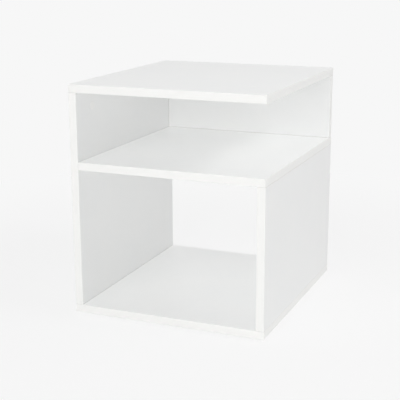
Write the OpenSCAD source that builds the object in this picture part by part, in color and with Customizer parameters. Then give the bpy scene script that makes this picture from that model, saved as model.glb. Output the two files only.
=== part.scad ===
// Open nightstand of melamine-faced boards, taken apart into its boards, edge bands and fittings.
// The origin is on the floor under the middle of the footprint, the front faces -Y and +Z is up.

/* [Carcass] */
// Outside width, left to right
width = 400; // [320:10:600]
// Outside depth, front to back
depth = 440; // [300:10:500]
// Clear height of the lower compartment, which is open at the front and the back
lower_h = 277; // [150:1:400]
// Clear height of the upper compartment, which is open at the front and the right
upper_h = 135; // [110:1:250]
// Thickness of every board
board_t = 16; // [15:1:22]
// Bevel along the saw-cut ends of the boards
ease = 0.3; // [0.1:0.1:0.6]

/* [Edge bands] */
// Thickness of the band glued to each edge that shows
band_t = 1; // [0.4:0.1:2]
// Rounding of the band's long edges
band_r = 0.8; // [0.2:0.1:2]

/* [Cam fittings] */
// Diameter of a cam
cam_d = 15; // [14:0.5:17]
// How far a cam reaches below the axis of its bolt
cam_below = 4.5; // [4.4:0.1:5.5]
// Wall of a cam round the chamber for the bolt's head
cam_wall = 1.5; // [1:0.1:2.5]
// Distance from a board's end to the middle of its cam
cam_reach = 34; // [24:1:38]
// Distance from a front, back or side edge to the first fitting
cam_end = 64; // [50:1:80]
// Length of the cross slots in a cam's face
drive_l = 8; // [6:0.5:10]
// Width of the cross slots
drive_w = 1.6; // [1:0.1:2]
// Depth of the cross slots
drive_deep = 2; // [1:0.1:2.4]
// Diameter of the round hole in the middle of the cross slots
drive_d = 4; // [3:0.1:5]
// Length of the arrow moulded in a cam's face
arrow_l = 1.6; // [1:0.1:1.8]
// Width of that arrow
arrow_w = 2.2; // [1.5:0.1:3]
// Depth of that arrow
arrow_deep = 0.4; // [0.2:0.1:0.6]
// Diameter of a cam bolt's shaft
bolt_d = 7; // [6:0.1:8]
// Diameter of a cam bolt's neck
neck_d = 4.5; // [3.5:0.1:5]
// Diameter of a cam bolt's head
head_d = 6.5; // [5.8:0.1:7]
// Height of a cam bolt's head
head_h = 3; // [2:0.1:4]
// Bare neck that shows between a cam and the shaft
shoulder = 0.5; // [0.3:0.1:2]
// Outside diameter of a cam bolt's thread
bolt_thread_d = 6.2; // [5.4:0.1:6.6]
// Length of a cam bolt's thread
bolt_thread_l = 11; // [8:0.5:12]
// Diameter of a cover cap
cap_d = 17; // [16:0.5:20]
// Thickness of a cover cap
cap_t = 0.8; // [0.5:0.1:1.5]
// Length of the peg that holds a cap in the cam
peg_l = 1.6; // [1:0.1:2]

/* [Dowels] */
// Diameter of a dowel
dowel_d = 8; // [6:0.5:10]
// Length of a dowel
dowel_l = 30; // [25:1:40]
// Distance from a bolt or screw to the dowel beside it
fitting_step = 32; // [20:1:40]
// Board left under the blind end of a dowel
blind_skin = 5; // [4:0.5:6]
// Bevel at a dowel's ends
dowel_bevel = 1; // [0.5:0.1:2]
// Number of flutes round a dowel
flutes = 8; // [4:1:12]
// Depth of a flute
flute_deep = 0.4; // [0.2:0.1:0.8]

/* [Screws] */
// Length of a screw that holds a side panel to the bottom board
screw_l = 50; // [40:1:60]
// Diameter of a screw's shank and thread
screw_d = 7; // [6:0.1:7.5]
// Diameter of a screw's head
screw_head_d = 10; // [9:0.5:11]
// Height of the straight rim of a screw's head
screw_rim = 1; // [0.5:0.1:2]
// Height of a screw's whole head
screw_head_h = 3.5; // [3:0.5:5]
// Width across the flats of a screw's hexagon socket
socket_w = 4; // [3:0.5:5]
// Depth of a screw's hexagon socket
socket_deep = 3; // [2:0.5:4]
// Distance from one thread crest to the next
pitch = 2.2; // [1.5:0.1:3]
// Depth of a thread
thread_deep = 0.8; // [0.4:0.1:1.2]

/* [Glides] */
// Diameter of a glide
glide_d = 20; // [15:1:30]
// Height of a glide
glide_h = 3; // [2:0.5:6]
// Rounding of a glide's lower edge
glide_r = 1; // [0.5:0.1:1.5]
// Distance from an outside face to the middle of a glide
glide_inset = 30; // [20:1:50]
// Diameter of a glide's nail
nail_d = 2; // [1.5:0.1:3]
// Length of a glide's nail
nail_l = 14; // [10:0.5:15]
// Diameter of the nail's head
nail_head_d = 6; // [5:0.5:8]
// Height of the nail's head
nail_head_h = 1; // [0.5:0.1:1.2]
// How deep the nail's head lies above the floor
nail_sink = 0.6; // [0.3:0.1:0.7]

/* [Clearances] */
// Clearance on the radius between a fitting and its bore
bore_gap = 0.1; // [0.05:0.05:0.2]
// Clearance round a bolt's head and neck in its cam
cam_gap = 0.3; // [0.1:0.05:0.35]
// Spare depth at the blind end of a bore
end_gap = 0.5; // [0.2:0.1:1]

/* [Hidden] */
$fn = 48;

// Colours of the finishes
board_colour = "WhiteSmoke";
band_colour = "Snow";
zinc_colour = "Silver";
steel_colour = "LightSteelBlue";
beech_colour = "BurlyWood";
cap_colour = "GhostWhite";
glide_colour = "Gainsboro";

// Faces of the carcass from left to right
left_x = -width / 2;
inner_left_x = left_x + board_t;
right_x = width / 2;
inner_right_x = right_x - board_t;
// Faces of the carcass from front to back
front_y = -depth / 2;
back_y = depth / 2;
inner_back_y = back_y - board_t;
// Faces of the carcass from the floor up
bottom_z = glide_h;
floor_z = bottom_z + board_t;
under_shelf_z = floor_z + lower_h;
on_shelf_z = under_shelf_z + board_t;
ceiling_z = on_shelf_z + upper_h;
top_z = ceiling_z + board_t;

// Places of the bolts and dowels along a joint, from its middle
side_bolt_y = depth / 2 - cam_end;
side_dowel_y = side_bolt_y - fitting_step;
back_bolt_x = (width - board_t) / 2 - cam_end;
back_dowel_x = back_bolt_x - fitting_step;
side_bolts = [-side_bolt_y, side_bolt_y];
side_dowels = [-side_dowel_y, side_dowel_y];
back_bolts = [-back_bolt_x, back_bolt_x];
back_dowels = [-back_dowel_x, back_dowel_x];
end_bolts = [0];
end_dowels = [-fitting_step, fitting_step];

// Each joint is its middle, its turn, its bolt or screw places and its dowel places.
// In a joint's own directions +Z runs from the end of one board into the face of the other,
// +Y points to the face that the cams are let into, and X runs along the joint.
back_mid_x = (inner_left_x + right_x) / 2;
top_left = [[left_x + board_t / 2, 0, ceiling_z], [0, 0, -90], side_bolts, side_dowels];
top_back = [[back_mid_x, back_y - board_t / 2, ceiling_z], [0, 0, 0], back_bolts, back_dowels];
back_shelf = [[back_mid_x, back_y - board_t / 2, on_shelf_z], [0, 180, 0], back_bolts, back_dowels];
back_left = [
    [inner_left_x, back_y - board_t / 2, on_shelf_z + upper_h / 2], [0, -90, 0], end_bolts, end_dowels
];
shelf_left = [[inner_left_x, 0, on_shelf_z - board_t / 2], [-90, 0, 90], side_bolts, side_dowels];
shelf_right = [[right_x - board_t / 2, 0, under_shelf_z], [0, 0, 90], side_bolts, side_dowels];
foot_left = [[left_x + board_t / 2, 0, floor_z], [0, 0, 90], side_bolts, side_dowels];
foot_right = [[right_x - board_t / 2, 0, floor_z], [0, 0, 90], side_bolts, side_dowels];
capped_joints = [top_left, shelf_left, shelf_right];
cam_joints = [top_left, shelf_left, shelf_right, top_back, back_shelf, back_left];
screw_joints = [foot_left, foot_right];

// Sizes that follow from the ones above
cam_h = board_t / 2 + cam_below;
arris = min(band_r, band_t);
bolt_reach = cam_reach + head_h / 2;
shaft_z = cam_d / 2 + shoulder - cam_reach;
dowel_in = board_t - blind_skin;
dowel_out = dowel_l - dowel_in;
flute_w = 2 * flute_deep;
screw_in = screw_l - board_t;
tip_l = pitch;
nail_tip_z = nail_sink + nail_l - glide_h;
nail_seat = nail_sink + nail_head_h;
// Cutting solids reach this far past the face that they open
over = 1;

// Moves and turns its children into a joint's own directions
module at_joint(joint) {
    translate(joint[0])
        rotate(joint[1])
            children();
}

// Puts its children at each of the places along a joint
module along(places) {
    for (x = places)
        translate([x, 0, 0])
            children();
}

// Frame of one cam: the board's face at Z 0, the cam below it, and the bolt coming from +X
module at_cam() {
    translate([0, board_t / 2, -cam_reach])
        rotate([-90, -90, 0])
            children();
}

// Middle of each glide on the underside of the bottom board
module at_glides() {
    for (x = [left_x + glide_inset, right_x - glide_inset])
        for (y = [front_y + glide_inset, back_y - glide_inset])
            translate([x, y, bottom_z])
                children();
}

// Board between two corners
module slab(low, high) {
    translate(low)
        cube(high - low);
}

// Band that runs along X, with its outer face at Y 0 and its glued face at +Y
module band(length) {
    rotate([0, 90, 0])
        linear_extrude(height = length, center = true)
            band_section();
}

// Section of a band: its width along X and its thickness along Y, round at its two outer corners
module band_section() {
    intersection() {
        translate([-board_t / 2, 0])
            square([board_t, band_t]);
        union() {
            translate([-board_t / 2, arris])
                square([board_t, band_t]);
            translate([arris - board_t / 2, 0])
                square([board_t - 2 * arris, band_t]);
            for (x = [arris - board_t / 2, board_t / 2 - arris])
                translate([x, arris])
                    circle(r = arris);
        }
    }
}

// Band that stands upright, with its outer face at Y 0
module upright_band(length) {
    rotate([0, 90, 0])
        band(length);
}

// Band round one edge of a lying board of the full footprint, at the board's mid height
module front_band(from_x, mid_z) {
    translate([(from_x + right_x) / 2, front_y, mid_z])
        band(right_x - from_x);
}

module back_band(from_x, mid_z) {
    translate([(from_x + right_x) / 2, back_y, mid_z])
        rotate([0, 0, 180])
            band(right_x - from_x);
}

module left_band(mid_z) {
    translate([left_x, 0, mid_z])
        rotate([0, 0, -90])
            band(depth - 2 * band_t);
}

module right_band(mid_z) {
    translate([right_x, 0, mid_z])
        rotate([0, 0, 90])
            band(depth - 2 * band_t);
}

// Upright band on the front or the back edge of a side panel
module panel_front_band(from_x, high_z) {
    translate([from_x + board_t / 2, front_y, (floor_z + high_z) / 2])
        upright_band(high_z - floor_z);
}

module panel_back_band(from_x, high_z) {
    translate([from_x + board_t / 2, back_y, (floor_z + high_z) / 2])
        rotate([0, 0, 180])
            upright_band(high_z - floor_z);
}

// Ridges of a thread for a turned profile, as points of radius and height
function ridges(core_r, crest_r, length) = [
    for (i = [0 : floor(length / pitch) - 1])
        each [[core_r, i * pitch], [crest_r, (i + 0.5) * pitch], [core_r, (i + 1) * pitch]]
];

// Cam with its face at Z 0 and its bolt coming from +X
module cam() {
    slot_r = neck_d / 2 + cam_gap;
    entry_r = head_d / 2 + cam_gap;
    difference() {
        translate([0, 0, -cam_h])
            cylinder(d = cam_d, h = cam_h);
        // Chamber for the head, flat where the head pulls on it
        translate([0, 0, -board_t / 2])
            intersection() {
                cylinder(d = cam_d - 2 * cam_wall, h = 2 * entry_r, center = true);
                translate([-cam_d, -cam_d / 2, -entry_r])
                    cube([cam_d + head_h / 2 + cam_gap, cam_d, 2 * entry_r]);
            }
        // Slot that the neck travels in as the cam turns a quarter
        translate([0, 0, -board_t / 2])
            intersection() {
                cylinder(d = cam_d + over, h = 2 * slot_r, center = true);
                translate([-slot_r, -cam_d, -slot_r])
                    cube([cam_d, cam_d + slot_r, 2 * slot_r]);
            }
        // Hole where the head goes in
        translate([0, 0, -board_t / 2])
            rotate([90, 0, 0])
                cylinder(r = entry_r, h = cam_d);
        // Cross slots and round hole for the driver
        for (turn = [0, 90])
            rotate([0, 0, turn])
                translate([-drive_l / 2, -drive_w / 2, -drive_deep])
                    cube([drive_l, drive_w, drive_deep + over]);
        translate([0, 0, -drive_deep])
            cylinder(d = drive_d, h = drive_deep + over);
        // Arrow that points to where the head goes in
        translate([0, -(drive_l + cam_d) / 4, -arrow_deep])
            linear_extrude(height = arrow_deep + over)
                polygon([[-arrow_w / 2, arrow_l / 2], [arrow_w / 2, arrow_l / 2], [0, -arrow_l / 2]]);
    }
}

// Cam bolt, from its head in the cam up through the joint into the face of the other board
module cam_bolt() {
    thread_l = bolt_thread_l - tip_l;
    core_r = bolt_thread_d / 2 - thread_deep;
    rotate_extrude()
        polygon(concat(
            [[0, -bolt_reach], [head_d / 2, -bolt_reach], [head_d / 2, head_h - bolt_reach]],
            [[neck_d / 2, head_h - bolt_reach], [neck_d / 2, shaft_z]],
            [[bolt_d / 2, shaft_z], [bolt_d / 2, 0]],
            ridges(core_r, bolt_thread_d / 2, thread_l),
            [[core_r / 2, bolt_thread_l], [0, bolt_thread_l]]
        ));
}

// Cap over a cam's face, with a peg in the cam's round hole
module cap() {
    rotate_extrude()
        polygon([
            [0, -peg_l], [drive_d / 2 - bore_gap, -peg_l], [drive_d / 2 - bore_gap, 0], [cap_d / 2, 0],
            [cap_d / 2, cap_t / 2], [(cap_d - cap_t) / 2, cap_t], [0, cap_t]
        ]);
}

// Fluted dowel across the joint plane
module dowel() {
    r = dowel_d / 2;
    intersection() {
        translate([0, 0, -dowel_out])
            linear_extrude(height = dowel_l)
                difference() {
                    circle(r = r);
                    for (i = [0 : flutes - 1])
                        rotate([0, 0, i * 360 / flutes])
                            translate([r - flute_deep, -flute_w / 2])
                                square([flute_w, flute_w]);
                }
        rotate_extrude()
            polygon([
                [0, -dowel_out], [r - dowel_bevel, -dowel_out], [r, dowel_bevel - dowel_out],
                [r, dowel_in - dowel_bevel], [r - dowel_bevel, dowel_in], [0, dowel_in]
            ]);
    }
}

// Screw up through the bottom board into the end of a side panel
module panel_screw() {
    r = screw_d / 2;
    core_r = r - thread_deep;
    difference() {
        rotate_extrude()
            polygon(concat(
                [[0, -board_t], [screw_head_d / 2, -board_t], [screw_head_d / 2, screw_rim - board_t]],
                [[r, screw_head_h - board_t], [r, 0]],
                ridges(core_r, r, screw_in - tip_l),
                [[core_r / 2, screw_in], [0, screw_in]]
            ));
        translate([0, 0, -board_t - over])
            cylinder(d = socket_w / cos(30), h = socket_deep + over, $fn = 6);
    }
}

// Bevels along both faces of the board whose end a joint closes
module eased_end() {
    for (side = [-1, 1])
        translate([0, side * board_t / 2, 0])
            rotate([45, 0, 0])
                cube([width + depth, ease * sqrt(2), ease * sqrt(2)], center = true);
}

// Bores and bevels that a joint needs in the board whose end it closes
module end_bores(joint) {
    at_joint(joint) {
        eased_end();
        along(joint[2])
            bolt_bores();
        along(joint[3])
            dowel_bore(dowel_out);
    }
}

// Bores that a joint needs in the board whose face it meets
module face_bores(joint) {
    at_joint(joint) {
        along(joint[2])
            translate([0, 0, -over])
                cylinder(r = bolt_thread_d / 2 + bore_gap, h = bolt_thread_l + end_gap + over);
        along(joint[3])
            mirror([0, 0, 1])
                dowel_bore(dowel_in);
    }
}

// Bore for a cam and the bore that its bolt comes in by
module bolt_bores() {
    translate([0, 0, -cam_reach])
        cylinder(r = bolt_d / 2 + bore_gap, h = cam_reach + over);
    at_cam()
        translate([0, 0, -cam_h])
            cylinder(r = cam_d / 2 + bore_gap, h = cam_h + over);
}

// Blind bore for the given length of a dowel, downwards from the joint plane
module dowel_bore(length) {
    translate([0, 0, -length - end_gap])
        cylinder(r = dowel_d / 2 + bore_gap, h = length + end_gap + over);
}

// Bores and bevels that a screwed joint needs in the end of a side panel
module screw_end_bores(joint) {
    at_joint(joint) {
        eased_end();
        along(joint[2])
            translate([0, 0, -over])
                cylinder(r = screw_d / 2 + bore_gap, h = screw_in + end_gap + over);
        along(joint[3])
            mirror([0, 0, 1])
                dowel_bore(dowel_out);
    }
}

// Bores that a screwed joint needs through the bottom board
module screw_face_bores(joint) {
    at_joint(joint) {
        along(joint[2])
            rotate_extrude()
                polygon([
                    [0, -board_t - over],
                    [screw_head_d / 2 + bore_gap, -board_t - over],
                    [screw_head_d / 2 + bore_gap, screw_rim - board_t],
                    [screw_d / 2 + bore_gap, screw_head_h - board_t],
                    [screw_d / 2 + bore_gap, over],
                    [0, over]
                ]);
        along(joint[3])
            dowel_bore(dowel_in);
    }
}

module bottom_board() {
    color(board_colour)
        difference() {
            slab(
                [left_x + band_t, front_y + band_t, bottom_z],
                [right_x - band_t, back_y - band_t, floor_z]
            );
            for (joint = screw_joints)
                screw_face_bores(joint);
            at_glides()
                cylinder(r = nail_d / 2 + bore_gap, h = nail_tip_z + end_gap);
        }
}

module left_panel() {
    color(board_colour)
        difference() {
            slab([left_x, front_y + band_t, floor_z], [inner_left_x, back_y - band_t, ceiling_z]);
            screw_end_bores(foot_left);
            end_bores(top_left);
            face_bores(shelf_left);
            face_bores(back_left);
        }
}

module right_panel() {
    color(board_colour)
        difference() {
            slab([inner_right_x, front_y + band_t, floor_z], [right_x, back_y - band_t, under_shelf_z]);
            screw_end_bores(foot_right);
            end_bores(shelf_right);
        }
}

module shelf() {
    color(board_colour)
        difference() {
            slab(
                [inner_left_x, front_y + band_t, under_shelf_z],
                [right_x - band_t, back_y - band_t, on_shelf_z]
            );
            end_bores(shelf_left);
            face_bores(shelf_right);
            face_bores(back_shelf);
        }
}

module back_panel() {
    color(board_colour)
        difference() {
            slab([inner_left_x, inner_back_y, on_shelf_z], [right_x - band_t, back_y, ceiling_z]);
            end_bores(back_shelf);
            end_bores(back_left);
            end_bores(top_back);
        }
}

module top_board() {
    color(board_colour)
        difference() {
            slab(
                [left_x + band_t, front_y + band_t, ceiling_z],
                [right_x - band_t, back_y - band_t, top_z]
            );
            face_bores(top_left);
            face_bores(top_back);
        }
}

module bottom_band_front() color(band_colour) front_band(left_x, floor_z - board_t / 2);
module bottom_band_back() color(band_colour) back_band(left_x, floor_z - board_t / 2);
module bottom_band_left() color(band_colour) left_band(floor_z - board_t / 2);
module bottom_band_right() color(band_colour) right_band(floor_z - board_t / 2);
module left_panel_band_front() color(band_colour) panel_front_band(left_x, ceiling_z);
module left_panel_band_back() color(band_colour) panel_back_band(left_x, ceiling_z);
module right_panel_band_front() color(band_colour) panel_front_band(inner_right_x, under_shelf_z);
module right_panel_band_back() color(band_colour) panel_back_band(inner_right_x, under_shelf_z);
module shelf_band_front() color(band_colour) front_band(inner_left_x, on_shelf_z - board_t / 2);
module shelf_band_back() color(band_colour) back_band(inner_left_x, on_shelf_z - board_t / 2);
module shelf_band_right() color(band_colour) right_band(on_shelf_z - board_t / 2);

module back_panel_band_right() {
    color(band_colour)
        translate([right_x, back_y - board_t / 2, (on_shelf_z + ceiling_z) / 2])
            rotate([0, 0, 90])
                upright_band(upper_h);
}

module top_band_front() color(band_colour) front_band(left_x, top_z - board_t / 2);
module top_band_back() color(band_colour) back_band(left_x, top_z - board_t / 2);
module top_band_left() color(band_colour) left_band(top_z - board_t / 2);
module top_band_right() color(band_colour) right_band(top_z - board_t / 2);

module cam_locks() {
    color(zinc_colour)
        for (joint = cam_joints)
            at_joint(joint)
                along(joint[2])
                    at_cam()
                        cam();
}

module cam_bolts() {
    color(steel_colour)
        for (joint = cam_joints)
            at_joint(joint)
                along(joint[2])
                    cam_bolt();
}

module cam_caps() {
    color(cap_colour)
        for (joint = capped_joints)
            at_joint(joint)
                along(joint[2])
                    at_cam()
                        cap();
}

module dowels() {
    color(beech_colour) {
        for (joint = cam_joints)
            at_joint(joint)
                along(joint[3])
                    dowel();
        for (joint = screw_joints)
            at_joint(joint)
                along(joint[3])
                    mirror([0, 0, 1])
                        dowel();
    }
}

module panel_screws() {
    color(steel_colour)
        for (joint = screw_joints)
            at_joint(joint)
                along(joint[2])
                    panel_screw();
}

module glides() {
    color(glide_colour)
        at_glides()
            rotate_extrude()
                difference() {
                    union() {
                        translate([0, -glide_h])
                            square([glide_d / 2 - glide_r, glide_h]);
                        translate([0, glide_r - glide_h])
                            square([glide_d / 2, glide_h - glide_r]);
                        translate([glide_d / 2 - glide_r, glide_r - glide_h])
                            circle(r = glide_r);
                    }
                    // Hole for the nail's shank, and the wider one for its head
                    translate([0, -glide_h])
                        square([nail_d / 2 + bore_gap, glide_h]);
                    translate([0, -glide_h])
                        square([nail_head_d / 2 + bore_gap, nail_seat]);
                }
}

module glide_nails() {
    color(steel_colour)
        at_glides()
            rotate_extrude()
                polygon([
                    [0, nail_sink - glide_h],
                    [nail_head_d / 2, nail_sink - glide_h],
                    [nail_head_d / 2, nail_seat - glide_h],
                    [nail_d / 2, nail_seat - glide_h],
                    [nail_d / 2, nail_tip_z - nail_d],
                    [0, nail_tip_z]
                ]);
}

bottom_board();
left_panel();
right_panel();
shelf();
back_panel();
top_board();
bottom_band_front();
bottom_band_back();
bottom_band_left();
bottom_band_right();
left_panel_band_front();
left_panel_band_back();
right_panel_band_front();
right_panel_band_back();
shelf_band_front();
shelf_band_back();
shelf_band_right();
back_panel_band_right();
top_band_front();
top_band_back();
top_band_left();
top_band_right();
cam_locks();
cam_bolts();
cam_caps();
dowels();
panel_screws();
glides();
glide_nails();
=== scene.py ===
"""Open bedside cabinet of white melamine-faced boards: its dressed pieces, studio and camera.

All lengths are in metres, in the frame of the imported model: the origin is on the floor under the
middle of the footprint, the front faces -Y and +Z is up.
"""

import logging
import math
from collections.abc import Mapping
from dataclasses import dataclass
from enum import Enum, IntEnum

import bpy
import numpy as np
from mathutils import Euler, Matrix, Vector


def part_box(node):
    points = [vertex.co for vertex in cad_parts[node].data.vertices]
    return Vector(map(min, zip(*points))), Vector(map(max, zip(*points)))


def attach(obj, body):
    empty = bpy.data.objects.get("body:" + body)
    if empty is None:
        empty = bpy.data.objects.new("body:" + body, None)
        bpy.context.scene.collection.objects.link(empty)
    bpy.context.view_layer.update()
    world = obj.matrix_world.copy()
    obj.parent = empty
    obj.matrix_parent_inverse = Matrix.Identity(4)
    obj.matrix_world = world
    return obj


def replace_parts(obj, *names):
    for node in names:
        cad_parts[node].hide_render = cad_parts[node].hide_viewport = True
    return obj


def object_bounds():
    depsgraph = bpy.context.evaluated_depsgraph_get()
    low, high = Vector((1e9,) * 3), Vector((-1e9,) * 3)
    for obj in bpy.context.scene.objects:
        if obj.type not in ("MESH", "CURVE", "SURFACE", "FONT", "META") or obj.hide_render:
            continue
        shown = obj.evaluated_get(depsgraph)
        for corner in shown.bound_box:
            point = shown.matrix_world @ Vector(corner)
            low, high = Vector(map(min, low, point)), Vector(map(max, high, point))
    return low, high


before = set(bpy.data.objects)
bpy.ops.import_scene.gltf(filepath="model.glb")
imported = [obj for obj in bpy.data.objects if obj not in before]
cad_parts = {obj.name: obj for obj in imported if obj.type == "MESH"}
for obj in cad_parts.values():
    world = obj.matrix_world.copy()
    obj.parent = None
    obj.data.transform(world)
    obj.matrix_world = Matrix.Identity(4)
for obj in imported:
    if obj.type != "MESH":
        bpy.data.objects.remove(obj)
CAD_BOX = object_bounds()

MM = 0.001
BODY = "root"
UV_NAME = "along"
# Edges bent by more than this stay sharp in the shading. Rounded corners turn by 18 degrees a step
# at most, so they stay smooth.
CREASE = math.radians(32)
# Blender's wave texture turns by 20 radians over a metre at scale 1.
WAVE_TURN = 20.0
LOG = logging.getLogger("cabinet")

# What drives a shader's sockets, by their names.
Sockets = dict[str, bpy.types.NodeSocket]


class Axis(IntEnum):
    """Directions of the frame, by their place in a point."""

    X = 0
    Y = 1
    Z = 2


class MixSocket(IntEnum):
    """Places of a Mix node's sockets: the factor and the colours among its inputs, the mixed colour
    among its outputs."""

    FACTOR = 0
    RESULT = 2
    A = 6
    B = 7


class BandEnd(Enum):
    """How an edge band ends."""

    BUTTED = "cut square against another piece, with a hair of easing"
    ROUNDED = "rounded over at an outside corner of the cabinet"


class LampKind(Enum):
    """What a lamp does apart from lighting the surfaces that face it."""

    KEY = "it casts shadows and shows in reflections"
    SHADOW = "it casts shadows only"
    FILL = "it does neither, as the light that a white studio's walls throw in from every side"


def linear(colour: str) -> tuple[float, float, float, float]:
    """Turns an sRGB colour to linear, by the standard's own curve.

    Args:
        colour: The colour as #RRGGBB.

    Returns:
        Linear red, green, blue and an alpha of 1.
    """
    parts = np.array([int(colour[i : i + 2], 16) for i in (1, 3, 5)]) / 255
    values = np.where(parts <= 0.04045, parts / 12.92, ((parts + 0.055) / 1.055) ** 2.4)
    return (*values.tolist(), 1.0)


def add(
    tree: bpy.types.NodeTree,
    kind: str,
    inputs: Mapping[int | str, object] | None = None,
    **settings: object,
) -> bpy.types.Node:
    """Adds a node with its settings and links.

    Args:
        tree: The node tree that takes the node.
        kind: The node's type, without ShaderNode.
        inputs: What each input socket holds, by its name or number: a plain value, an output
            socket, or a node, which stands for its first output.
        settings: The node's own properties.

    Returns:
        The new node.
    """
    node = tree.nodes.new("ShaderNode" + kind)
    for name, value in settings.items():
        setattr(node, name, value)
    for key, value in (inputs or {}).items():
        if isinstance(value, bpy.types.Node):
            value = value.outputs[0]
        if isinstance(value, bpy.types.NodeSocket):
            tree.links.new(value, node.inputs[key])
        else:
            node.inputs[key].default_value = value
    return node


@dataclass(frozen=True, kw_only=True)
class Finish:
    """What every finish of the cabinet has. Each finish's own class adds its pattern."""

    name: str
    colour: str
    roughness: float
    ior: float = 1.5
    metallic: float = 0.0

    def material(self) -> bpy.types.Material:
        """Makes the material.

        Returns:
            A material with this finish's plain values and pattern.
        """
        made = bpy.data.materials.new(self.name)
        made.use_nodes = True
        tree = made.node_tree
        shader = tree.nodes["Principled BSDF"]
        shader.inputs["Base Color"].default_value = linear(self.colour)
        shader.inputs["Roughness"].default_value = self.roughness
        shader.inputs["IOR"].default_value = self.ior
        shader.inputs["Metallic"].default_value = self.metallic
        for name, source in self.pattern(tree).items():
            tree.links.new(source, shader.inputs[name])
        return made

    def pattern(self, tree: bpy.types.NodeTree) -> Sockets:
        """Adds what varies over the surface.

        Args:
            tree: The material's node tree.

        Returns:
            What drives the shader's sockets, by their names.
        """
        raise NotImplementedError


@dataclass(frozen=True, kw_only=True)
class JointShadedFinish(Finish):
    """A finish with painted shade: its colour darkens in joints and inside corners, where other
    surfaces hem it in.
    """

    # Painted shade: its colour, the reach within which surroundings hem a point in, its full share,
    # and the rays that measure it.
    joint_shade_colour: str = "#6F6D69"
    joint_shade_reach: float = 1.2 * MM
    joint_shade_share: float = 0.35
    joint_shade_rays: int = 8

    def paint_joint_shade(
        self, tree: bpy.types.NodeTree, clean: bpy.types.NodeSocket
    ) -> bpy.types.NodeSocket:
        """Paints shade into a colour: darkens it by the joint share times the share of its
        surroundings that is hemmed in.

        Args:
            tree: The material's node tree.
            clean: The colour without the painted shade.

        Returns:
            The colour with the painted shade.
        """
        # Painted shade: the ambient occlusion darkens the colour towards the shade colour in joints
        # and inside corners.
        free = add(
            tree, "AmbientOcclusion", {"Distance": self.joint_shade_reach}, samples=self.joint_shade_rays
        ).outputs["AO"]
        hemmed = add(tree, "Math", {0: 1.0, 1: free}, operation="SUBTRACT")
        share = add(tree, "Math", {0: hemmed, 1: self.joint_shade_share}, operation="MULTIPLY")
        shaded = add(
            tree,
            "Mix",
            {MixSocket.FACTOR: share, MixSocket.A: clean, MixSocket.B: linear(self.joint_shade_colour)},
            data_type="RGBA",
        )
        return shaded.outputs[MixSocket.RESULT]


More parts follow.
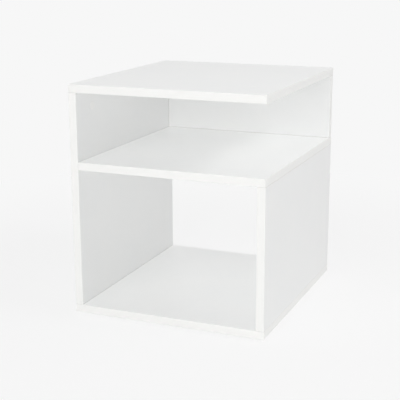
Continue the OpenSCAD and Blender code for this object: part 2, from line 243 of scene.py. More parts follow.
@dataclass(frozen=True, kw_only=True)
class MelamineBoard(JointShadedFinish):
    """Melamine-faced chipboard.

    White paper soaked in melamine resin is pressed onto chipboard against an etched steel plate.
    The eye sees a satin white with a fine pearl that breaks up reflections, and very faint hollows
    where the chips under the paper telegraph through. Past the paper's own thickness, in the bores
    and on the saw-cut ends, the brown chips show.
    """

    name: str = "melamine_board"
    colour: str = "#F4F4F3"
    roughness: float = 0.4
    ior: float = 1.55
    # Where the board's thickness lies: its direction, its middle and half of it.
    axis: Axis = Axis.Z
    middle: float = 0.0
    half: float = 8 * MM
    paper: float = 0.15 * MM
    # Handling and wiping leave faint clouds, about as wide as a palm.
    cloud: float = 70 * MM
    cloud_detail: float = 3.0
    cloud_colour: str = "#F1F2F2"
    gloss_spread: float = 0.05
    # The real pearl is 0.8 mm across, too fine to show, so it is drawn three times as coarse.
    pearl: float = 2.4 * MM
    pearl_blur: float = 0.6
    pearl_deep: float = 0.02 * MM
    hollow: float = 14 * MM
    hollow_detail: float = 2.0
    hollow_deep: float = 0.03 * MM
    chip: float = 1.6 * MM
    chip_light: str = "#D2B58C"
    chip_dark: str = "#8F6D49"
    chip_duller: float = 0.4

    def chips(self, tree: bpy.types.NodeTree, place: bpy.types.NodeSocket) -> bpy.types.NodeSocket:
        """Adds the bare chips, each in its own shade between the light one and the dark one.

        Args:
            tree: The material's node tree.
            place: The point that is coloured.

        Returns:
            The chips' colour.
        """
        cell = add(tree, "TexVoronoi", {"Vector": place, "Scale": 1 / self.chip})
        shade = add(tree, "SeparateXYZ", {"Vector": cell.outputs["Color"]})
        light, dark = linear(self.chip_light), linear(self.chip_dark)
        core = add(
            tree,
            "Mix",
            {MixSocket.FACTOR: shade, MixSocket.A: light, MixSocket.B: dark},
            data_type="RGBA",
        )
        return core.outputs[MixSocket.RESULT]

    def below_paper(
        self, tree: bpy.types.NodeTree, place: bpy.types.NodeSocket
    ) -> bpy.types.NodeSocket:
        """Tells the core from the paper.

        Args:
            tree: The material's node tree.
            place: The point that is coloured.

        Returns:
            1 where the point lies deeper below both faces than the paper is thick, else 0.
        """
        along = add(tree, "SeparateXYZ", {"Vector": place}).outputs[self.axis]
        off = add(tree, "Math", {0: along, 1: self.middle}, operation="SUBTRACT")
        away = add(tree, "Math", {0: off}, operation="ABSOLUTE")
        inside = add(tree, "Math", {0: away, 1: self.half - self.paper}, operation="LESS_THAN")
        return inside.outputs[0]

    def pattern(self, tree: bpy.types.NodeTree) -> Sockets:
        """Adds the cloudy white, the chips past the paper, the painted shade in the joints and inside
        corners, the pearl and the uneven gloss.

        Args:
            tree: The material's node tree.

        Returns:
            The colour, the roughness and the normal.
        """
        place = add(tree, "TexCoord").outputs["Object"]
        cloud = add(
            tree,
            "TexNoise",
            {"Vector": place, "Scale": 1 / self.cloud, "Detail": self.cloud_detail},
        )
        white, cloudy = linear(self.colour), linear(self.cloud_colour)
        face = add(
            tree,
            "Mix",
            {MixSocket.FACTOR: cloud, MixSocket.A: white, MixSocket.B: cloudy},
            data_type="RGBA",
        ).outputs[MixSocket.RESULT]
        inside = self.below_paper(tree, place)
        colour = add(
            tree,
            "Mix",
            {
                MixSocket.FACTOR: inside,
                MixSocket.A: face,
                MixSocket.B: self.chips(tree, place),
            },
            data_type="RGBA",
        ).outputs[MixSocket.RESULT]
        gloss = add(
            tree,
            "MapRange",
            {
                "Value": cloud,
                "To Min": self.roughness - self.gloss_spread,
                "To Max": self.roughness + self.gloss_spread,
            },
        )
        rough = add(
            tree,
            "Math",
            {0: inside, 1: self.chip_duller, 2: gloss},
            operation="MULTIPLY_ADD",
            use_clamp=True,
        )
        hollows = add(
            tree,
            "TexNoise",
            {"Vector": place, "Scale": 1 / self.hollow, "Detail": self.hollow_detail},
        )
        pearl = add(
            tree,
            "TexVoronoi",
            {"Vector": place, "Scale": 1 / self.pearl, "Smoothness": self.pearl_blur},
            feature="SMOOTH_F1",
        )
        soft = add(tree, "Bump", {"Height": hollows, "Distance": self.hollow_deep})
        bump = add(tree, "Bump", {"Height": pearl, "Distance": self.pearl_deep, "Normal": soft})
        # The colour carries painted shade in the joints and inside corners.
        return {
            "Base Color": self.paint_joint_shade(tree, colour),
            "Roughness": rough.outputs[0],
            "Normal": bump.outputs[0],
        }


@dataclass(frozen=True, kw_only=True)
class EdgeBandPlastic(JointShadedFinish):
    """ABS edge band.

    The strip is extruded, glued on hot, and its arrises are milled and scraped round. The eye sees
    a slightly glossier and warmer white than the board's faces, with faint lines along the strip.
    """

    name: str = "edge_band"
    colour: str = "#F6F6F4"
    roughness: float = 0.32
    ior: float = 1.54
    # The band's joints and inside corners get a stronger painted shade than the board's.
    joint_shade_share: float = 0.7
    # Scraper lines are about 0.2 mm apart and centimetres long. They are drawn at 1 mm to show.
    line_apart: float = 1 * MM
    line_long: float = 60 * MM
    line_detail: float = 3.0
    line_deep: float = 0.008 * MM
    line_colour: str = "#F1F1EF"
    gloss_spread: float = 0.06

    def pattern(self, tree: bpy.types.NodeTree) -> Sockets:
        """Adds the scraper lines, in the colour, the gloss and the height, and the painted shade in
        the joints and inside corners.

        Args:
            tree: The material's node tree.

        Returns:
            The colour, the roughness and the normal.
        """
        place = add(tree, "UVMap", uv_map=UV_NAME)
        stretched = add(
            tree,
            "Mapping",
            {"Vector": place, "Scale": (1 / self.line_long, 1 / self.line_apart, 1.0)},
        )
        lines = add(
            tree, "TexNoise", {"Vector": stretched, "Scale": 1.0, "Detail": self.line_detail}
        )
        plain, lined = linear(self.colour), linear(self.line_colour)
        tint = add(
            tree,
            "Mix",
            {MixSocket.FACTOR: lines, MixSocket.A: plain, MixSocket.B: lined},
            data_type="RGBA",
        ).outputs[MixSocket.RESULT]
        gloss = add(
            tree,
            "MapRange",
            {
                "Value": lines,
                "To Min": self.roughness - self.gloss_spread,
                "To Max": self.roughness + self.gloss_spread,
            },
        )
        bump = add(tree, "Bump", {"Height": lines, "Distance": self.line_deep})
        # The colour carries painted shade in the joints and inside corners.
        return {
            "Base Color": self.paint_joint_shade(tree, tint),
            "Roughness": gloss.outputs[0],
            "Normal": bump.outputs[0],
        }


@dataclass(frozen=True, kw_only=True)
class MouldedPlastic(Finish):
    """Injection-moulded polyethylene.

    The mould is spark-eroded, so the surface is a soft satin with a fine even grain. Wear shows as
    duller scuffs.
    """

    roughness: float = 0.45
    ior: float = 1.51
    # How much glossier than its roughness the rubbed plastic is, and how much duller the scuffs.
    rubbed: float = 0.1
    worn: float = 0.15
    grain: float = 0.4 * MM
    grain_detail: float = 1.0
    grain_deep: float = 0.01 * MM
    scuff: float = 6 * MM
    scuff_detail: float = 5.0
    scuff_colour: str

    def pattern(self, tree: bpy.types.NodeTree) -> Sockets:
        """Adds the eroded grain and the scuffs.

        Args:
            tree: The material's node tree.

        Returns:
            The colour, the roughness and the normal.
        """
        place = add(tree, "TexCoord").outputs["Object"]
        scuffs = add(
            tree,
            "TexNoise",
            {"Vector": place, "Scale": 1 / self.scuff, "Detail": self.scuff_detail},
        )
        plain, scuffed = linear(self.colour), linear(self.scuff_colour)
        tint = add(
            tree,
            "Mix",
            {MixSocket.FACTOR: scuffs, MixSocket.A: plain, MixSocket.B: scuffed},
            data_type="RGBA",
        )
        gloss = add(
            tree,
            "MapRange",
            {
                "Value": scuffs,
                "To Min": self.roughness - self.rubbed,
                "To Max": self.roughness + self.worn,
            },
        )
        grain = add(
            tree,
            "TexNoise",
            {"Vector": place, "Scale": 1 / self.grain, "Detail": self.grain_detail},
        )
        bump = add(tree, "Bump", {"Height": grain, "Distance": self.grain_deep})
        return {
            "Base Color": tint.outputs[MixSocket.RESULT],
            "Roughness": gloss.outputs[0],
            "Normal": bump.outputs[0],
        }


@dataclass(frozen=True, kw_only=True)
class FittingMetal(Finish):
    """Metal of the fittings. It is mottled by the skin that it froze or was plated with."""

    metallic: float = 1.0
    gloss_spread: float
    mottle: float
    mottle_colour: str
    mottle_detail: float = 4.0
    mottle_deep: float = 0.03 * MM

    def pattern(self, tree: bpy.types.NodeTree) -> Sockets:
        """Adds the mottling, in the colour, the gloss and the height.

        Args:
            tree: The material's node tree.

        Returns:
            The colour, the roughness and the normal.
        """
        place = add(tree, "TexCoord").outputs["Object"]
        skin = add(
            tree,
            "TexNoise",
            {"Vector": place, "Scale": 1 / self.mottle, "Detail": self.mottle_detail},
        )
        plain, mottled = linear(self.colour), linear(self.mottle_colour)
        tint = add(
            tree,
            "Mix",
            {MixSocket.FACTOR: skin, MixSocket.A: plain, MixSocket.B: mottled},
            data_type="RGBA",
        )
        gloss = add(
            tree,
            "MapRange",
            {
                "Value": skin,
                "To Min": self.roughness - self.gloss_spread,
                "To Max": self.roughness + self.gloss_spread,
            },
        )
        bump = add(tree, "Bump", {"Height": skin, "Distance": self.mottle_deep})
        return {
            "Base Color": tint.outputs[MixSocket.RESULT],
            "Roughness": gloss.outputs[0],
            "Normal": bump.outputs[0],
        }


@dataclass(frozen=True, kw_only=True)
class Beech(Finish):
    """Bare turned beech.

    The dowels are pulled through a fluting die and not sanded. The eye sees a dry pinkish tan with
    short dark ray flecks and faint year rings.
    """

    name: str = "beech"
    colour: str = "#D0A983"
    roughness: float = 0.7
    fleck: float = 1.2 * MM
    fleck_colour: str = "#A87C57"
    # A fleck is full up to the first of these distances from its middle, in fleck widths, and gone
    # at the second.
    fleck_full: float = 0.1
    fleck_gone: float = 0.35
    ring: float = 2.5 * MM
    ring_bend: float = 3.0
    ring_detail: float = 2.0
    ring_share: float = 0.35
    fibre_deep: float = 0.05 * MM

    def pattern(self, tree: bpy.types.NodeTree) -> Sockets:
        """Adds the year rings, the flecks and the raised fibres.

        Args:
            tree: The material's node tree.

        Returns:
            The colour and the normal.
        """
        place = add(tree, "TexCoord").outputs["Object"]
        rings = add(
            tree,
            "TexWave",
            {
                "Vector": place,
                "Scale": math.tau / (WAVE_TURN * self.ring),
                "Distortion": self.ring_bend,
                "Detail": self.ring_detail,
            },
        )
        flecks = add(tree, "TexVoronoi", {"Vector": place, "Scale": 1 / self.fleck})
        spots = add(
            tree,
            "MapRange",
            {
                "Value": flecks,
                "From Min": self.fleck_full,
                "From Max": self.fleck_gone,
                "To Min": 1.0,
                "To Max": 0.0,
            },
        )
        soft = add(
            tree, "Math", {0: rings.outputs["Fac"], 1: self.ring_share}, operation="MULTIPLY"
        )
        amount = add(tree, "Math", {0: spots, 1: soft}, operation="ADD", use_clamp=True)
        plain, flecked = linear(self.colour), linear(self.fleck_colour)
        tint = add(
            tree,
            "Mix",
            {MixSocket.FACTOR: amount, MixSocket.A: plain, MixSocket.B: flecked},
            data_type="RGBA",
        )
        bump = add(tree, "Bump", {"Height": amount, "Distance": self.fibre_deep})
        return {"Base Color": tint.outputs[MixSocket.RESULT], "Normal": bump.outputs[0]}


# White polyethylene, which the eye takes for a part of the board that it sits on.
CAP_PLASTIC = MouldedPlastic(name="cap_plastic", colour="#F8F8F7", scuff_colour="#F3F3F1")

# The same plastic left in its own milky grey, and scratched by the floor.
GLIDE_PLASTIC = MouldedPlastic(
    name="glide_plastic", colour="#D8D7D0", scuff_colour="#BFBDB5", roughness=0.5, scuff=3 * MM
)

# Zinc cast under pressure and tumbled: dull, and finely mottled.
DIE_CAST_ZINC = FittingMetal(
    name="die_cast_zinc",
    colour="#B4B6B8",
    roughness=0.42,
    gloss_spread=0.12,
    mottle=1.8 * MM,
    mottle_colour="#8E9194",
)

# Steel plated bright with zinc: a cooler and shinier grey, a little cloudy.
PLATED_STEEL = FittingMetal(
    name="zinc_plated_steel",
    colour="#C9CDD2",
    roughness=0.28,
    gloss_spread=0.06,
    mottle=4 * MM,
    mottle_colour="#AEB4BA",
)


@dataclass
class Shell:
    """A closed surface as rings of points, skinned in order.

    Ring i, point j is at points[i, j]. Neighbouring rings are joined by four-sided faces, and each
    ring is closed on itself. The first and last ring are closed with a fan round their middle, or,
    where the shell is a hoop, are joined to each other.
    """

    points: np.ndarray
    hoop: bool = False

    def faces(self) -> tuple[np.ndarray, np.ndarray, np.ndarray]:
        """Works out the skin.

        The faces are turned to point outwards: the sum of a . (b x c) over all triangles (a, b, c)
        is six times the enclosed volume, and is negative where they point inwards.

        Returns:
            The points, the four-sided faces, and the three-sided faces of the two fans.
        """
        rings, around = self.points.shape[:2]
        index = np.arange(rings * around).reshape(rings, around)
        after = np.roll(index, -1, axis=1)
        low, low_after = (index, after) if self.hoop else (index[:-1], after[:-1])
        high, high_after = (
            (np.roll(edge, -1, axis=0) if self.hoop else edge[1:]) for edge in (index, after)
        )
        quads = np.stack([low, low_after, high_after, high], axis=-1).reshape(-1, 4)
        points = self.points.reshape(-1, 3)
        fans = np.empty((0, 3), int)
        if not self.hoop:
            middles = self.points[[0, -1]].mean(axis=1)
            first, last = len(points), len(points) + 1
            points = np.concatenate([points, middles])
            start = np.stack([after[0], index[0], np.full(around, first)], axis=-1)
            end = np.stack([index[-1], after[-1], np.full(around, last)], axis=-1)
            fans = np.concatenate([start, end])
        triangles = np.concatenate([quads[:, [0, 1, 2]], quads[:, [0, 2, 3]], fans])
        a, b, c = (points[triangles[:, i]] for i in range(3))
        if np.einsum("ij,ij->", a, np.cross(b, c)) < 0:
            quads, fans = quads[:, ::-1], fans[:, ::-1]
        return points, quads, fans


def make_piece(
    name: str, shells: list[Shell], finish: bpy.types.Material
) -> bpy.types.Object:
    """Makes one piece from closed shells, and lets it ride on the cabinet.

    Args:
        name: The piece's name.
        shells: Its shells, which don't touch.
        finish: Its material.

    Returns:
        The new object.
    """
    points, faces, count = [], [], 0
    for shell in shells:
        where, quads, fans = shell.faces()
        points.append(where)
        faces += (quads + count).tolist() + (fans + count).tolist()
        count += len(where)
    mesh = bpy.data.meshes.new(name)
    mesh.from_pydata(np.concatenate(points).tolist(), [], faces)
    mesh.shade_smooth()
    mesh.set_sharp_from_angle(angle=CREASE)
    mesh.materials.append(finish)
    piece = bpy.data.objects.new(name, mesh)
    bpy.context.scene.collection.objects.link(piece)
    # Flat faces keep their own direction right up to the small rounded ones beside them.
    weighted = piece.modifiers.new("flat_faces_first", "WEIGHTED_NORMAL")
    weighted.keep_sharp = True
    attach(piece, BODY)
    LOG.info("%s: %d points, %d faces", name, count, len(faces))
    return piece


def dress(node: str, finish: bpy.types.Material) -> None:
    """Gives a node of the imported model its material.

    Args:
        node: The node's name.
        finish: Its material.
    """
    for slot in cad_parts[node].material_slots:
        slot.material = finish
    LOG.info("%s: dressed in %s", node, finish.name)


def quarter(steps: int) -> np.ndarray:
    """Angles of a quarter turn, ends included."""
    return np.linspace(0, math.pi / 2, steps + 1)


def turned(
    profile: np.ndarray, centre: Vector, axis: Vector, around: int = 64, hoop: bool = False
) -> Shell:
    """Turns a profile round an axis.

    Ring i is a circle of radius profile[i, 0] round the axis, at height profile[i, 1] along it.

    Args:
        profile: Radius and height of each ring.
        centre: The point of the axis at height 0.
        axis: The axis's direction.
        around: Points on each ring.
        hoop: Whether the last ring joins the first.

    Returns:
        The turned shell.
    """
    up = np.array(axis.normalized())
    side = np.array(axis.orthogonal().normalized())
    other = np.cross(up, side)
    turn = np.linspace(0, math.tau, around, endpoint=False)
    circle = np.outer(np.cos(turn), side) + np.outer(np.sin(turn), other)
    out, along = profile[:, 0, None, None], profile[:, 1, None, None]
    return Shell(np.array(centre) + out * circle + along * up, hoop)


@dataclass
class Carcass:
    """The six boards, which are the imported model's own, with their bores and eased saw-cut ends."""

    lying: tuple[str, ...] = ("bottom_board", "shelf", "top_board")
    upright: tuple[str, ...] = ("left_panel", "right_panel")
    across: tuple[str, ...] = ("back_panel",)
    # The photograph shows no chips above this panel, so there the paper is as deep as the bevel.
    clean: str = "right_panel"
    clean_paper: float = 0.3 * MM

    def build(self) -> None:
        """Dresses each board, with its paper on the two faces across its thickness."""
        for names, axis in ((self.lying, Axis.Z), (self.upright, Axis.X), (self.across, Axis.Y)):
            for name in names:
                low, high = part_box(name)
                finish = MelamineBoard(
                    name=f"melamine_{name}",
                    axis=axis,
                    middle=(low[axis] + high[axis]) / 2,
                    half=(high[axis] - low[axis]) / 2,
                    paper=self.clean_paper if name == self.clean else MelamineBoard.paper,
                )
                dress(name, finish.material())


@dataclass
class EdgeBands:
    """The strips glued to the boards' edges, each in the place of its node.

    A band is a section carried along the band. In the section, u runs across the board's edge and v
    outwards from the glued face. Its two outer corners are quarter circles.
    """

    # The rounding of the outer corners, the bevel along the glue line, the easing of a butted end.
    arris: float = 0.8 * MM
    glue_bevel: float = 0.06 * MM
    butt_ease: float = 0.3 * MM
    steps: int = 8

    def section(self, inset: np.ndarray, width: float, thick: float) -> np.ndarray:
        """Works out the section at each station.

        Every side but the glued one lies the inset further in, so the corner arcs keep their
        middles and their radius is the arris less the inset.

        Args:
            inset: How far the outline is drawn in at each station.
            width: The board's thickness, which the band covers.
            thick: The band's thickness.

        Returns:
            An array of stations by points by (u, v).
        """
        gap = inset[:, None]
        arc = self.arris - gap
        turn = quarter(self.steps)[None, :]
        right_u = width / 2 - self.arris + arc * np.cos(turn)
        right_v = thick - self.arris + arc * np.sin(turn)
        side = width / 2 - gap
        bevel = np.full_like(gap, self.glue_bevel)
        half_u = np.concatenate([side - self.glue_bevel, side, right_u], axis=1)
        half_v = np.concatenate([np.zeros_like(gap), bevel, right_v], axis=1)
        u = np.concatenate([half_u, -half_u[:, ::-1]], axis=1)
        v = np.concatenate([half_v, half_v[:, ::-1]], axis=1)
        return np.stack([u, v], axis=-1)

    def end_stations(self, kind: BandEnd) -> tuple[np.ndarray, np.ndarray]:
        """Works out the stations near one end.

        The outline follows a quarter circle: at distance r (1 - cos a) from the end it is drawn in
        by r (1 - sin a), where r is the end's own rounding.

        Args:
            kind: How the band ends there.

        Returns:
            The stations' distances from the end, and their insets.
        """
        rounding = self.arris if kind is BandEnd.ROUNDED else self.butt_ease
        turn = quarter(self.steps)
        return rounding * (1 - np.cos(turn)), rounding * (1 - np.sin(turn))

    def band(self, name: str) -> Shell:
        """Works out one band from the box of its node.

        The band runs along the box's longest side, its thickness is the shortest, and it faces away
        from the middle of the cabinet. An end that reaches the outside of the cabinet is rounded.

        Args:
            name: The node that the band replaces.

        Returns:
            The band's shell.
        """
        low, high = (np.array(corner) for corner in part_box(name))
        size, centre = high - low, (high + low) / 2
        outwards, across, run = np.argsort(size)
        facing = math.copysign(1, centre[outwards])
        limits = [corner[int(run)] for corner in CAD_BOX]
        ends = [
            BandEnd.ROUNDED if abs(end - limit) < self.arris / 2 else BandEnd.BUTTED
            for end, limit in zip((low[run], high[run]), limits)
        ]
        (start, start_inset), (stop, stop_inset) = (self.end_stations(end) for end in ends)
        stations = np.concatenate([low[run] + start, (high[run] - stop)[::-1]])
        inset = np.concatenate([start_inset, stop_inset[::-1]])
        section = self.section(inset, size[across], size[outwards])
        glued = centre[outwards] - facing * size[outwards] / 2
        points = np.empty((*section.shape[:2], 3))
        points[..., run] = stations[:, None]
        points[..., across] = centre[across] + section[..., 0]
        points[..., outwards] = glued + facing * section[..., 1]
        return Shell(points)

    def map_lengthwise(self, piece: bpy.types.Object) -> None:
        """Lays a UV map in metres on a band: U along it and V round its section.

        V is the distance across plus the distance outwards, which never folds back on one side.

        Args:
            piece: The band.
        """
        mesh = piece.data
        points = np.empty(len(mesh.vertices) * 3)
        mesh.vertices.foreach_get("co", points)
        points = points.reshape(-1, 3)
        corners = np.empty(len(mesh.loops), int)
        mesh.loops.foreach_get("vertex_index", corners)
        outwards, across, run = np.argsort(np.ptp(points, axis=0))
        flat = np.stack([points[:, run], points[:, across] + points[:, outwards]], axis=-1)
        mesh.uv_layers.new(name=UV_NAME).data.foreach_set("uv", flat[corners].ravel())

    def build(self) -> None:
        """Makes every band and puts it in the place of its node."""
        plastic = EdgeBandPlastic().material()
        for name in sorted(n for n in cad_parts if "_band_" in n):
            piece = make_piece(f"{name}_strip", [self.band(name)], plastic)
            self.map_lengthwise(piece)
            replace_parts(piece, name)


@dataclass
class CamFittings:
    """Cams, their bolts and the caps over the cams that face a compartment."""

    steel: bpy.types.Material
    cap_r: float = 8.5 * MM
    cap_t: float = 0.8 * MM
    rim_t: float = 0.6 * MM
    rim_r: float = 0.15 * MM
    rim_steps: int = 5
    dome_steps: int = 14
    # The moulding mark in the middle: its radius, its floor's, its innermost ring's, its depth.
    gate_r: float = 0.9 * MM
    gate_floor_r: float = 0.72 * MM
    gate_core_r: float = 0.27 * MM
    gate_deep: float = 0.12 * MM
    # The peg under the cap: its radius, its tip's, its innermost ring's, its length, and how far
    # down it starts to taper.
    peg_r: float = 1.9 * MM
    peg_tip_r: float = 1.52 * MM
    peg_core_r: float = 0.76 * MM
    peg_l: float = 1.6 * MM
    peg_taper: float = 1.36 * MM
    # How far a cap's middle is from the joint, and from the cabinet's front or back.
    reach: float = 34 * MM
    end: float = 64 * MM

    def cap_profile(self) -> np.ndarray:
        """Works out a cap's profile.

        From the peg's tip it runs up the peg, out along the flat underside, round the rim, and in
        over a dome that rises as 1 - (r / R) squared, with a shallow moulding mark in its middle.

        Returns:
            Radius and height of each ring.
        """
        peg = [
            [self.peg_core_r, -self.peg_l],
            [self.peg_tip_r, -self.peg_l],
            [self.peg_r, -self.peg_taper],
            [self.peg_r, 0.0],
        ]
        under = [[self.cap_r - self.rim_r, 0.0], [self.cap_r, self.rim_r]]
        turn = quarter(self.rim_steps)
        rim_u = self.cap_r - self.rim_r * (1 - np.cos(turn))
        rim_v = self.rim_t - self.rim_r * (1 - np.sin(turn))
        out = np.linspace(rim_u[-1], self.gate_r, self.dome_steps)[1:]
        share = 1 - (out / rim_u[-1]) ** 2
        dome_v = self.rim_t + (self.cap_t - self.rim_t) * share
        floor_v = dome_v[-1] - self.gate_deep
        mark = [[self.gate_floor_r, floor_v], [self.gate_core_r, floor_v]]
        rim, dome = np.stack([rim_u, rim_v], axis=-1), np.stack([out, dome_v], axis=-1)
        return np.concatenate([peg, under, rim, dome, mark])

    def cap_places(self) -> list[tuple[Vector, Vector]]:
        """Works out where the caps sit.

        Returns:
            The middle of each cap on its board's face, and the direction that it faces.
        """
        left, right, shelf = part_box("left_panel"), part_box("right_panel"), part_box("shelf")
        front, back = CAD_BOX[0].y + self.end, CAD_BOX[1].y - self.end
        places = []
        for y in (front, back):
            places += [
                (Vector((left[1].x, y, left[1].z - self.reach)), Vector((1, 0, 0))),
                (Vector((shelf[0].x + self.reach, y, shelf[0].z)), Vector((0, 0, -1))),
                (Vector((right[0].x, y, right[1].z - self.reach)), Vector((-1, 0, 0))),
            ]
        return places

    def build(self) -> None:
        """Makes the caps, and dresses the cams and bolts."""
        profile = self.cap_profile()
        shells = [turned(profile, centre, axis) for centre, axis in self.cap_places()]
        caps = make_piece("domed_cam_caps", shells, CAP_PLASTIC.material())
        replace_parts(caps, "cam_caps")
        dress("cam_locks", DIE_CAST_ZINC.material())
        dress("cam_bolts", self.steel)


@dataclass
class PanelFixings:
    """The dowels, and the screws that hold the side panels to the bottom board."""

    steel: bpy.types.Material

    def build(self) -> None:
        """Dresses both."""
        dress("dowels", Beech().material())
        dress("panel_screws", self.steel)


@dataclass
class Feet:
    """The glides under the bottom board, and their nails."""

    steel: bpy.types.Material
    glide_r: float = 10 * MM
    edge_r: float = 1.0 * MM
    crown: float = 0.25 * MM
    crown_steps: int = 10
    head_r: float = 3.0 * MM
    head_t: float = 1.0 * MM
    head_above: float = 0.6 * MM
    head_dome: float = 0.3 * MM
    shank_r: float = 1.0 * MM
    point_r: float = 0.1 * MM
    point_l: float = 2.0 * MM
    nail_l: float = 14 * MM
    nail_around: int = 32
    gap: float = 0.1 * MM
    turn_steps: int = 6

    def glide_profile(self, height: float) -> np.ndarray:
        """Works out a glide's profile, as a closed loop round its nail hole.

        Underneath it is a shallow crown that rises from the floor's level as the square of the way
        out from the nail's sink, then a quarter circle up to the straight side.

        Args:
            height: The glide's height.

        Returns:
            Radius and height of each ring.
        """
        seat = self.head_above + self.head_t
        bore_r, sink_r = self.shank_r + self.gap, self.head_r + self.gap
        hole = [[bore_r, height], [bore_r, seat], [sink_r, seat], [sink_r, self.gap]]
        flat_r = self.glide_r - self.edge_r
        out = np.linspace(sink_r + self.gap, flat_r, self.crown_steps)
        rise = self.crown * ((out - out[0]) / (flat_r - out[0])) ** 2
        turn = quarter(self.turn_steps)[1:]
        edge_u = flat_r + self.edge_r * np.sin(turn)
        edge_v = self.crown + self.edge_r * (1 - np.cos(turn))
        under, edge = np.stack([out, rise], axis=-1), np.stack([edge_u, edge_v], axis=-1)
        top = [[self.glide_r, height - self.gap], [self.glide_r - self.gap, height]]
        return np.concatenate([hole, under, edge, top])

    def nail_profile(self) -> np.ndarray:
        """Works out a nail's profile, from its slightly domed head up to its point.

        The head's face, which looks at the floor, is a flattened quarter circle.

        Returns:
            Radius and height of each ring.
        """
        turn = quarter(self.turn_steps)[1:]
        dome_u = self.head_r * np.sin(turn)
        dome_v = self.head_above + self.head_dome * (1 - np.cos(turn))
        neck = self.head_above + self.head_t
        tip = self.head_above + self.nail_l
        shank = [
            [self.head_r, neck],
            [self.shank_r, neck],
            [self.shank_r, tip - self.point_l],
            [self.point_r, tip],
        ]
        return np.concatenate([np.stack([dome_u, dome_v], axis=-1), shank])

    def build(self) -> None:
        """Makes the glides and nails in the places of their nodes."""
        low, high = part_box("glides")
        up = Vector((0, 0, 1))
        spots = [
            Vector((x, y, low.z))
            for x in (low.x + self.glide_r, high.x - self.glide_r)
            for y in (low.y + self.glide_r, high.y - self.glide_r)
        ]
        glide, nail = self.glide_profile(high.z - low.z), self.nail_profile()
        glides = [turned(glide, spot, up, hoop=True) for spot in spots]
        nails = [turned(nail, spot, up, self.nail_around) for spot in spots]
        plastic = GLIDE_PLASTIC.material()
        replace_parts(make_piece("crowned_glides", glides, plastic), "glides")
        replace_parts(make_piece("domed_nails", nails, self.steel), "glide_nails")


@dataclass(frozen=True)
class Lamp:
    """A soft lamp that looks at the cabinet."""

    name: str
    kind: LampKind
    # Degrees to the right of straight in front, and degrees above the floor.
    turn: float
    rise: float
    watts: float
    side: float = 2.3
    away: float = 3.3

    def build(self, target: Vector) -> None:
        """Hangs the lamp.

        Args:
            target: The point that it looks at.
        """
        data = bpy.data.lights.new(self.name, "AREA")
        data.shape = "SQUARE"
        data.size = self.side
        data.energy = self.watts
        shadows = self.kind is not LampKind.FILL
        data.use_shadow = shadows
        # With it, part of a lamp's light is found by bounced rays, and these are blocked even where
        # the lamp casts no shadows.
        data.cycles.use_multiple_importance_sampling = shadows
        towards = Vector((0.0, -1.0, 0.0))
        towards.rotate(Euler((math.radians(-self.rise), 0.0, math.radians(self.turn))))
        lamp = bpy.data.objects.new(self.name, data)
        lamp.visible_glossy = self.kind is LampKind.KEY
        lamp.location = target + self.away * towards
        lamp.rotation_euler = (-towards).to_track_quat("-Z", "Y").to_euler()
        bpy.context.scene.collection.objects.link(lamp)


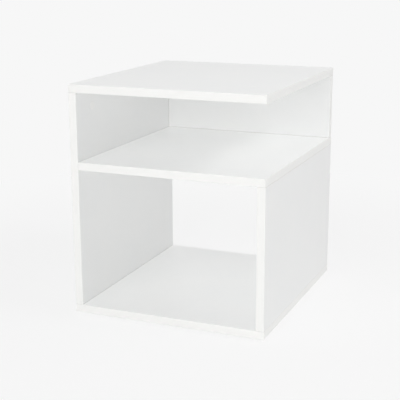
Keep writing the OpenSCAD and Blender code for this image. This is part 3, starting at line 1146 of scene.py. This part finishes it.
@dataclass
class Studio:
    """Pale floor, pale backdrop, soft lamps and even light from all round."""

    backdrop: str = "#F7F7F7"
    floor_colour: str = "#F0F0F0"
    floor_r: float = 4.0
    floor_rings: int = 24
    floor_around: int = 64
    # Near the middle this share of the shown floor is paper, which takes the shadow. Between the
    # two distances it fades to the backdrop.
    shadow_share: float = 0.25
    fade_from: float = 0.45
    fade_to: float = 1.2
    # The paper near the cabinet is a little darker than the backdrop, and the shown tone makes up
    # for it.
    near_lift: float = 1.03
    around_level: float = 0.42
    lamps: tuple[Lamp, ...] = (
        Lamp("front_lamp", LampKind.SHADOW, turn=4, rise=14, watts=15.2, side=0.8),
        Lamp("low_lamp", LampKind.SHADOW, turn=4, rise=6, watts=6.4, side=0.8),
        Lamp("left_lamp", LampKind.SHADOW, turn=-20, rise=25, watts=7.0, side=0.8),
        Lamp("right_lamp", LampKind.SHADOW, turn=90, rise=42, watts=18.0, side=0.7),
        Lamp("high_lamp", LampKind.KEY, turn=105, rise=70, watts=5.0),
        Lamp("top_fill", LampKind.FILL, turn=0, rise=86, watts=15.0),
        Lamp("right_fill", LampKind.FILL, turn=40, rise=25, watts=19.2),
        Lamp("left_fill", LampKind.FILL, turn=-90, rise=8, watts=18.6),
        Lamp("back_fill", LampKind.FILL, turn=180, rise=8, watts=24.0),
    )

    def seen(self, tree: bpy.types.NodeTree) -> bpy.types.Node:
        """Adds nodes that give 1 for camera, glossy and transmission rays, which show the backdrop.

        Args:
            tree: The node tree that takes them.

        Returns:
            The last of the nodes.
        """
        rays = add(tree, "LightPath").outputs
        two = add(
            tree,
            "Math",
            {0: rays["Is Camera Ray"], 1: rays["Is Glossy Ray"]},
            operation="MAXIMUM",
        )
        return add(tree, "Math", {0: two, 1: rays["Is Transmission Ray"]}, operation="MAXIMUM")

    def build_world(self) -> None:
        """Lights the cabinet evenly from all round, and shows the pale backdrop."""
        world = bpy.data.worlds.new("studio")
        world.use_nodes = True
        tree = world.node_tree
        tree.nodes.clear()
        white = (1.0, 1.0, 1.0, 1.0)
        even = add(tree, "Background", {"Color": white, "Strength": self.around_level})
        shown = add(tree, "Background", {"Color": linear(self.backdrop), "Strength": 1.0})
        both = add(tree, "MixShader", {0: self.seen(tree), 1: even, 2: shown})
        add(tree, "OutputWorld", {"Surface": both})
        bpy.context.scene.world = world

    def build_floor(self) -> None:
        """Lays a round floor that takes the cabinet's shadow and fades into the backdrop.

        Ring i of the floor is a circle of radius R i / n.
        """
        rings, around = self.floor_rings, self.floor_around
        radius = np.linspace(self.floor_r / rings, self.floor_r, rings)
        turn = np.linspace(0, math.tau, around, endpoint=False)
        points = np.zeros((rings * around + 1, 3))
        points[:-1, 0] = np.outer(radius, np.cos(turn)).ravel()
        points[:-1, 1] = np.outer(radius, np.sin(turn)).ravel()
        index = np.arange(rings * around).reshape(rings, around)
        after = np.roll(index, -1, axis=1)
        quads = np.stack([index[:-1], index[1:], after[1:], after[:-1]], axis=-1).reshape(-1, 4)
        fan = np.stack([index[0], after[0], np.full(around, rings * around)], axis=-1)
        mesh = bpy.data.meshes.new("studio_floor")
        mesh.from_pydata(points.tolist(), [], quads.tolist() + fan.tolist())
        mesh.materials.append(self.floor_material())
        floor = bpy.data.objects.new("studio_floor", mesh)
        bpy.context.scene.collection.objects.link(floor)

    def floor_material(self) -> bpy.types.Material:
        """Makes the floor's material.

        It lights the cabinet as matt pale paper. Where it is seen, a share of it is that paper, so
        that the shadow shows, and the rest is the backdrop's own tone. Far out it is all backdrop.

        Returns:
            The material.
        """
        made = bpy.data.materials.new("studio_paper")
        made.use_nodes = True
        tree = made.node_tree
        tree.nodes.clear()
        place = add(tree, "TexCoord").outputs["Object"]
        away = add(tree, "VectorMath", {0: place}, operation="LENGTH").outputs["Value"]
        paper = add(tree, "BsdfDiffuse", {"Color": linear(self.floor_colour)})
        share, lift = (
            add(
                tree,
                "MapRange",
                {
                    "Value": away,
                    "From Min": self.fade_from,
                    "From Max": self.fade_to,
                    "To Min": near,
                    "To Max": 1.0,
                },
                interpolation_type="SMOOTHSTEP",
            )
            for near in (1 - self.shadow_share, self.near_lift)
        )
        tone = add(tree, "Emission", {"Color": linear(self.backdrop), "Strength": lift})
        shown = add(tree, "MixShader", {0: share, 1: paper, 2: tone})
        both = add(tree, "MixShader", {0: self.seen(tree), 1: paper, 2: shown})
        # From below the floor is let through, so that the underside can be looked at.
        below = add(tree, "NewGeometry").outputs["Backfacing"]
        clear = add(tree, "BsdfTransparent")
        sided = add(tree, "MixShader", {0: below, 1: both, 2: clear})
        add(tree, "OutputMaterial", {"Surface": sided})
        return made

    def build(self) -> None:
        """Builds the world, the floor and the lamps."""
        self.build_world()
        self.build_floor()
        target = (CAD_BOX[0] + CAD_BOX[1]) / 2
        for lamp in self.lamps:
            lamp.build(target)
        LOG.info("studio: %d lamps", len(self.lamps))


@dataclass
class PhotoCamera:
    """The camera at the photograph's viewing angle.

    The angles, the place and the lens come from a fit to the cabinet's straight edges. Yaw turns
    the camera to its left, pitch tilts it down and roll turns it about its view.
    """

    place: tuple[float, float, float] = (0.7443, -1.8153, 0.7091)
    yaw: float = math.radians(22.84)
    pitch: float = math.radians(14.50)
    roll: float = math.radians(0.23)
    # The lens's focal length and the sensor's width, in millimetres.
    lens: float = 86.94
    sensor: float = 36.0

    def build(self) -> None:
        """Makes the camera and sets it as the scene's."""
        data = bpy.data.cameras.new("photo_camera")
        data.lens, data.sensor_width = self.lens, self.sensor
        camera = bpy.data.objects.new("photo_camera", data)
        camera.matrix_world = (
            Matrix.Translation(self.place)
            @ Matrix.Rotation(self.yaw, 4, "Z")
            @ Matrix.Rotation(-self.pitch, 4, "X")
            @ Matrix.Rotation(self.roll, 4, "Y")
            @ Matrix.Rotation(math.pi / 2, 4, "X")
        )
        bpy.context.scene.collection.objects.link(camera)
        bpy.context.scene.camera = camera
        LOG.info("camera: lens %.2f mm", self.lens)


def main() -> None:
    """Builds the camera, the studio and every sub-assembly, in order."""
    logging.basicConfig(level=logging.INFO, format="%(name)s: %(message)s")
    bpy.context.scene.view_settings.view_transform = "Standard"
    steel = PLATED_STEEL.material()
    surroundings = (PhotoCamera(), Studio())
    cabinet = (Carcass(), EdgeBands(), CamFittings(steel), PanelFixings(steel), Feet(steel))
    for part in surroundings + cabinet:
        part.build()


if __name__ == "__main__":
    main()
